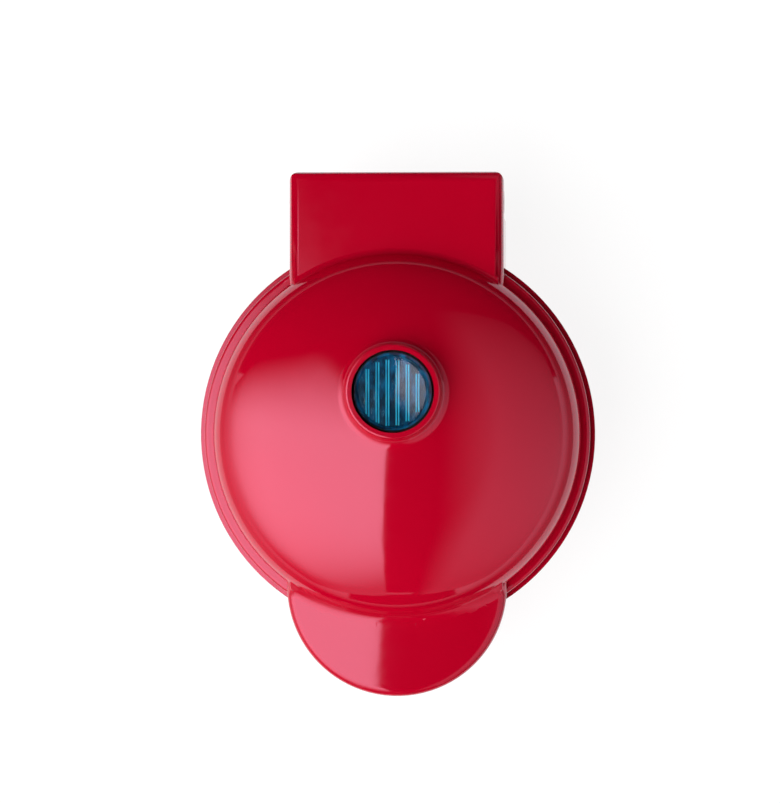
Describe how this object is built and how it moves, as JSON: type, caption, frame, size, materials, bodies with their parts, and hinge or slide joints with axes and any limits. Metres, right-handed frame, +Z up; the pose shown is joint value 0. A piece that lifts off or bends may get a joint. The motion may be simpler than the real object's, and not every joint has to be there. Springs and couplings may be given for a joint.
{
  "type": "waffle maker",
  "caption": "Small round waffle maker with a domed lid on a rear hinge, a half-moon front tab, an indicator lens and waffle grid plates.",
  "frame": {"origin": "on the table, on the axis of the round body, which is the middle of the overall length and width", "axes": "+X to the right, +Y from the handle tab to the hinge, +Z up"},
  "size_m": [0.121, 0.16, 0.0699],
  "materials": {
    "red_shell": "high gloss moulded, red",
    "coated_plate": "cast, black non-stick coating",
    "pressed_steel": "pressed sheet, satin",
    "heater_tube": "dull, heat tinted",
    "screw_steel": "zinc plated",
    "pin_steel": "turned",
    "black_plastic": "fine matt",
    "ceramic_white": "unglazed",
    "foot_rubber": "matt",
    "blue_lens": "clear tinted, polished",
    "lamp_glass": "clear"
  },
  "bodies": {
    "base": {"base_shell": "red_shell", "lower_pan": "pressed_steel", "lower_plate": "coated_plate", "lower_element": "heater_tube", "lower_plate_screws": "screw_steel", "base_screws": "screw_steel", "thermostat": "black_plastic", "thermostat_screws": "screw_steel", "thermal_fuse": "ceramic_white", "fuse_clip": "pressed_steel", "terminal_block": "ceramic_white", "cord_gland": "black_plastic", "cord_clamp": "black_plastic", "cord_clamp_screws": "screw_steel", "rubber_feet": "foot_rubber"},
    "lid": {"lid_shell": "red_shell", "upper_pan": "pressed_steel", "upper_plate": "coated_plate", "upper_element": "heater_tube", "upper_plate_screws": "screw_steel", "upper_pan_screws": "screw_steel", "handle_cover": "black_plastic", "handle_cover_screws": "screw_steel", "indicator_lens": "blue_lens", "lamp_holder": "black_plastic", "neon_lamp": "lamp_glass", "hinge_pins": "pin_steel"}
  },
  "joints": [
    {"name": "lid_hinge", "type": "hinge", "parent": "base", "child": "lid", "pos_m": [0, 0.071, 0.038], "axis": [-1, 0, 0], "range_deg": [0, 100]}
  ]
}
